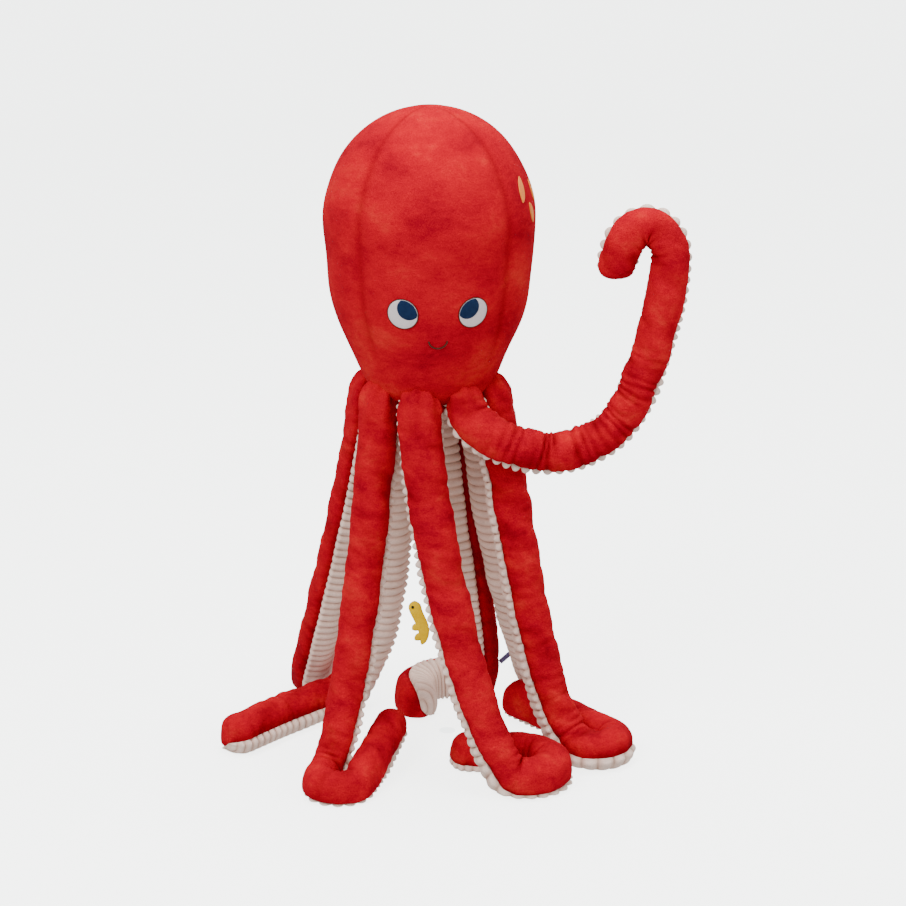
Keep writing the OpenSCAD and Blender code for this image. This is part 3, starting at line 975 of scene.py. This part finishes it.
# ---------- underside of the head ----------
def belly():
    """The red panel between the arm roots, dimpled towards the middle."""
    rings = [(2, 436), (14, 434), (30, 433), (42, 436), (49, 441),
             (52, 446), (47, 450), (30, 451), (2, 451)]
    azimuth = 5 * np.arange(72)
    points = []
    for r, z in rings:
        for a in azimuth:
            fold = 1.5 * math.cos(math.radians(8 * (a - 10))) * smooth(r / 60)
            points.append(HEAD_AXIS + compass(a) * (r - fold) + (0, 0, z - fold))
    count = len(azimuth)
    faces = [list(reversed(f)) for f in grid_faces(len(rings), count, around=True)]
    faces.append(list(range(count)))
    faces.append(list(range((len(rings) - 1) * count, len(rings) * count))[::-1])
    obj = new_object("belly_panel_plush", points, faces)
    # Painted shade: the whole panel under the head is darkened evenly.
    shade_layer(obj, np.full(len(points), 0.35))
    finished(obj, PLUSH)
    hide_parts("base_panel", "base_filling")
    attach(obj, "base")


# ---------- trim ----------
def pillow(name, line, radius, flat):
    """A soft flattened tube along a line in the plane of the front."""
    obj = tube(name, line, radius, 20)
    middle = np.array(line)[:, 1].mean() * MM
    for vertex in obj.data.vertices:
        vertex.co.y = middle + (vertex.co.y - middle) * flat
    return obj


def felt_creature():
    """A small yellow sea creature: head, curved body and two fins, with a black eye."""
    place = HEAD_AXIS + FISH_PLACE

    def at(x, z, y=0.0):
        return place + (x, y, z)

    spine = [at(0, 29.5), at(0, 27), at(0, 22), at(2, 15), at(6, 7),
             at(10, -3), at(12, -13), at(10, -22), at(8, -26)]
    body = pillow("creature_body", spine, [0.5, 6, 8.4, 7.2, 7.0, 7.6, 6.0, 4.2, 0.5], 0.34)
    high = [at(8, -2), at(3, -3), at(-1, -5), at(-3, -7)]
    low = [at(10, -12), at(6, -15), at(2, -18), at(0, -20)]
    fins = [pillow("creature_fin_high", high, [3, 5.5, 4.5, 0.5], 0.3),
            pillow("creature_fin_low", low, [3, 5.2, 4.2, 0.5], 0.3)]
    smoother = body.modifiers.new("smooth", "SUBSURF")
    smoother.levels = 1
    smoother.render_levels = 1
    piece = finished(joined("felt_creature_sewn", [body, *fins]), FELT)
    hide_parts("felt_fish")
    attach(piece, "front_arm_lower")
    eye = [at(-2, 22, side * y) for side in (-1, 1) for y in (2.2, 3.4)]
    beads = [tube(f"bead_{i}", pair, [1.9, 1.1], 16) for i, pair in enumerate((eye[:2], eye[2:]))]
    bead = finished(joined("creature_eyes", beads), BEAD)
    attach(bead, "front_arm_lower")


def ribbon_tab():
    """A folded loop of ribbon sewn into the seam of the rear arm."""
    place = HEAD_AXIS + TAB_PLACE
    rise = math.radians(TAB_RISE)
    along = np.array([math.cos(rise), 0, math.sin(rise)])
    across = np.array([-math.sin(rise), 0, math.cos(rise)])
    shares = np.linspace(0, 1, 17)
    section = [(-1, -1), (-0.5, -1), (0, -1), (0.5, -1), (1, -1),
               (1, 1), (0.5, 1), (0, 1), (-0.5, 1), (-1, 1)]
    points = []
    for u in shares:
        half = 0.45 + 0.9 * math.sin(math.pi * min(1, u * 1.02)) ** 0.8
        curl = 1.2 * math.sin(2.6 * u)
        for w, depth in section:
            on_ribbon = along * RIBBON_LEN * u + across * w * RIBBON_W / 2
            points.append(place + on_ribbon + np.array([0, depth * half * 0.6 + curl, 0]))
    rows = len(shares)
    count = len(section)
    faces = [list(reversed(f)) for f in grid_faces(rows, count, around=True)]
    faces.append(list(range(count)))
    faces.append(list(range((rows - 1) * count, rows * count))[::-1])
    obj = finished(new_object("ribbon_loop", points, faces), RIBBON)
    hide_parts("ribbon_tab")
    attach(obj, "rear_arm_lower")


# ---------- studio ----------
FLOOR_GLOW = 3.6
FLOOR_R = 4200              # the flat floor, in millimetres
WALL_R = 900                # radius of the curve between floor and wall
WALL_TOP = 5000
WORLD_STRENGTH = 0.85
LAMPS = [("key", (-1.2, -1.9, 2.4), 1.5, 72),   # name, place and size in metres, watts
         ("fill", (2.2, -1.6, 1.5), 2.0, 22),
         ("top", (0.2, 0.2, 2.8), 1.6, 62)]
LAMP_TARGET = (0, -0.05, 0.4)
VIEW_TARGET = (0.00714, -0.0524, 0.37511)
VIEW_OFFSET = (0, -3.0602, 0.9356)
LENS = 107.76


def studio():
    """A pale bowl as backdrop, which neither lights nor mirrors in the toy, and three soft lamps."""
    swing = np.radians(np.linspace(0, 90, 13))
    curve = [(FLOOR_R + WALL_R * math.sin(a), WALL_R - WALL_R * math.cos(a)) for a in swing]
    profile = [(10, 0)] + curve + [(FLOOR_R + WALL_R, WALL_TOP)]
    around = np.radians(5 * np.arange(72))
    points = [(r * math.cos(a), r * math.sin(a), z) for r, z in profile for a in around]
    count = len(around)
    faces = [list(range(count))] + grid_faces(len(profile), count, around=True)
    floor = new_object("floor", points, faces)
    floor.data.materials.append(floor_material())
    floor.visible_diffuse = False
    floor.visible_glossy = False
    world = bpy.data.worlds.new("studio")
    bpy.context.scene.world = world
    world.use_nodes = True
    background = world.node_tree.nodes["Background"]
    background.inputs["Color"].default_value = (1, 1, 1, 1)
    background.inputs["Strength"].default_value = WORLD_STRENGTH
    for name, place, size, power in LAMPS:
        data = bpy.data.lights.new(name, "AREA")
        data.shape = "DISK"
        data.size = size
        data.energy = power
        lamp = bpy.data.objects.new(name, data)
        lamp.location = place
        away = Vector(LAMP_TARGET) - Vector(place)
        lamp.rotation_euler = away.to_track_quat("-Z", "Y").to_euler()
        bpy.context.scene.collection.objects.link(lamp)


def camera():
    """The view: from the front, tilted down by 17 degrees onto the toy's middle."""
    target = Vector(VIEW_TARGET)
    data = bpy.data.cameras.new("camera")
    data.sensor_width = 36
    data.lens = LENS
    data.clip_end = 50
    view = bpy.data.objects.new("camera", data)
    view.location = target + Vector(VIEW_OFFSET)
    view.rotation_euler = (target - view.location).to_track_quat("-Z", "Y").to_euler()
    bpy.context.scene.collection.objects.link(view)
    bpy.context.scene.camera = view


# ---------- the scene ----------
camera()
studio()
head_piece = head()
skin = Surface(head_piece)
face(skin)
side_embroidery(skin)
belly()
for number, plan in enumerate(ARMS):
    standing_arm(number, plan)
raised_arm()
felt_creature()
ribbon_tab()
